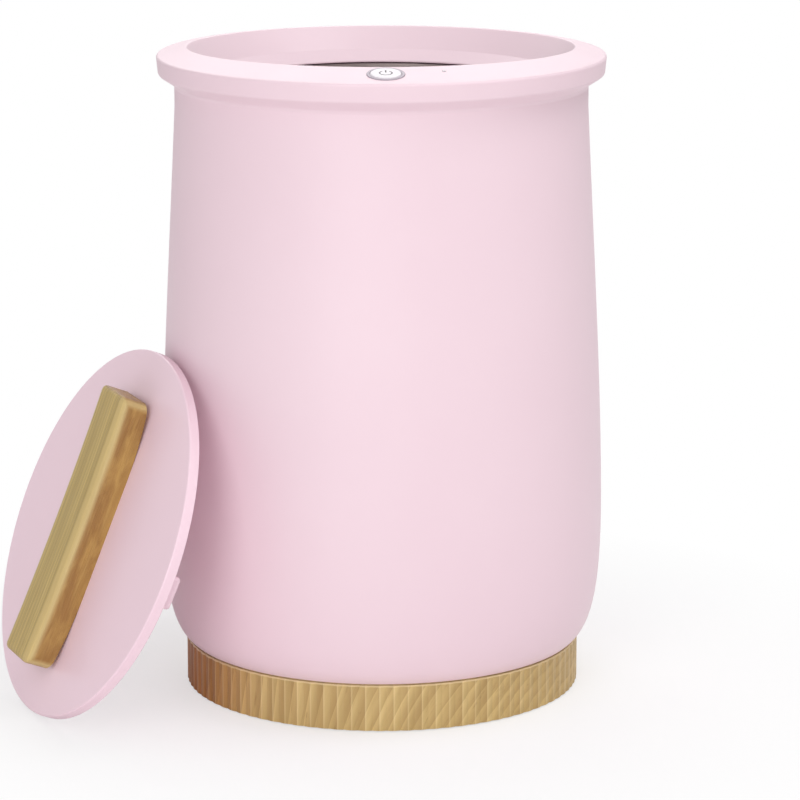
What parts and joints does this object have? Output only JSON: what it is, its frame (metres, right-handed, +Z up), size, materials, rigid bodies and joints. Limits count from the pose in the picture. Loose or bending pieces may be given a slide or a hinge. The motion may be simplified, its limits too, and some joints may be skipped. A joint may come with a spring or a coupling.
{
  "type": "towel warmer bucket",
  "caption": "Electric bucket that warms towels: flared rim with a sloping control panel, metal inner pot, reeded wooden foot ring and a lid with a wooden bar handle, taken off.",
  "frame": {"origin": "underside of the middle foot, on the floor under the bucket's axis", "axes": "+Z up the bucket's axis, -Y towards the control panel, +X to the right seen from the front"},
  "size_m": [0.4114, 0.3366, 0.4365],
  "materials": {
    "pink_plastic": "satin moulded plastic",
    "lid_plastic": "satin moulded plastic",
    "pot_metal": "spun, satin",
    "ring_wood": "reeded, clear satin lacquer",
    "handle_wood": "sanded, clear satin lacquer",
    "button_white": "moulded, satin gloss",
    "bezel_plastic": "satin gloss",
    "symbol_grey": "moulded in",
    "dark_plastic": "fine grain",
    "lens_plastic": "smoked, clear",
    "screw_steel": "zinc plated",
    "strap_steel": "rolled",
    "cast_heater": "cast, plain",
    "brass_pins": "nickel bright",
    "black_rubber": "plain",
    "silicone": "plain",
    "felt": "needled",
    "film": "amber film",
    "lid_foam": "closed-cell foam",
    "board_green": "lacquered board",
    "part_black": "moulded",
    "part_blue": "moulded",
    "core_steel": "stacked sheets",
    "can_aluminium": "sleeved can",
    "ceramic": "glazed",
    "lead_white": "sheathed lead",
    "lead_black": "sheathed lead",
    "plug_cream": "moulded"
  },
  "bodies": {
    "bucket": {"outer_shell": "pink_plastic", "top_collar": "pink_plastic", "collar_screws": "screw_steel", "inner_pot": "pot_metal", "pot_gasket": "silicone", "pot_screws": "screw_steel", "heating_film": "film", "felt_wrap": "felt", "clamp_straps": "strap_steel", "bottom_heater": "cast_heater", "pot_cradle": "dark_plastic", "thermostat": "ceramic", "thermal_fuse": "ceramic", "button_bezel": "bezel_plastic", "tact_switch": "part_black", "indicator_lens": "lens_plastic", "status_led": "ceramic", "control_board": "board_green", "board_chip": "part_black", "board_plug": "plug_cream", "board_screws": "screw_steel", "base_ring": "ring_wood", "base_plate": "dark_plastic", "base_screws": "screw_steel", "feet": "black_rubber", "power_board": "board_green", "power_board_screws": "screw_steel", "relay": "part_blue", "smoothing_capacitor": "can_aluminium", "transformer": "core_steel", "terminal_block": "plug_cream", "mains_inlet": "dark_plastic", "inlet_pins": "brass_pins", "board_lead": "lead_white", "heater_lead": "lead_white", "inlet_lead": "lead_black"},
    "power_button": {"power_button": "button_white", "button_symbol": "symbol_grey", "switch_plunger": "part_black"},
    "lid": {"lid_cap": "lid_plastic", "lid_cover": "lid_plastic", "lid_foam": "lid_foam", "lid_screws": "screw_steel", "lid_handle": "handle_wood", "handle_screws": "screw_steel"}
  },
  "joints": [
    {"name": "button_press", "type": "slide", "parent": "bucket", "child": "power_button", "axis": [0, 0.185, -0.9827], "range_m": [0, 0.0012], "stiffness_N_per_m": 800, "springref_m": -0.0004},
    {"name": "lid_lift", "type": "slide", "parent": "bucket", "child": "lid", "axis": [-0.8444, -0.383, 0.3746], "range_m": [0, 0.25]}
  ]
}
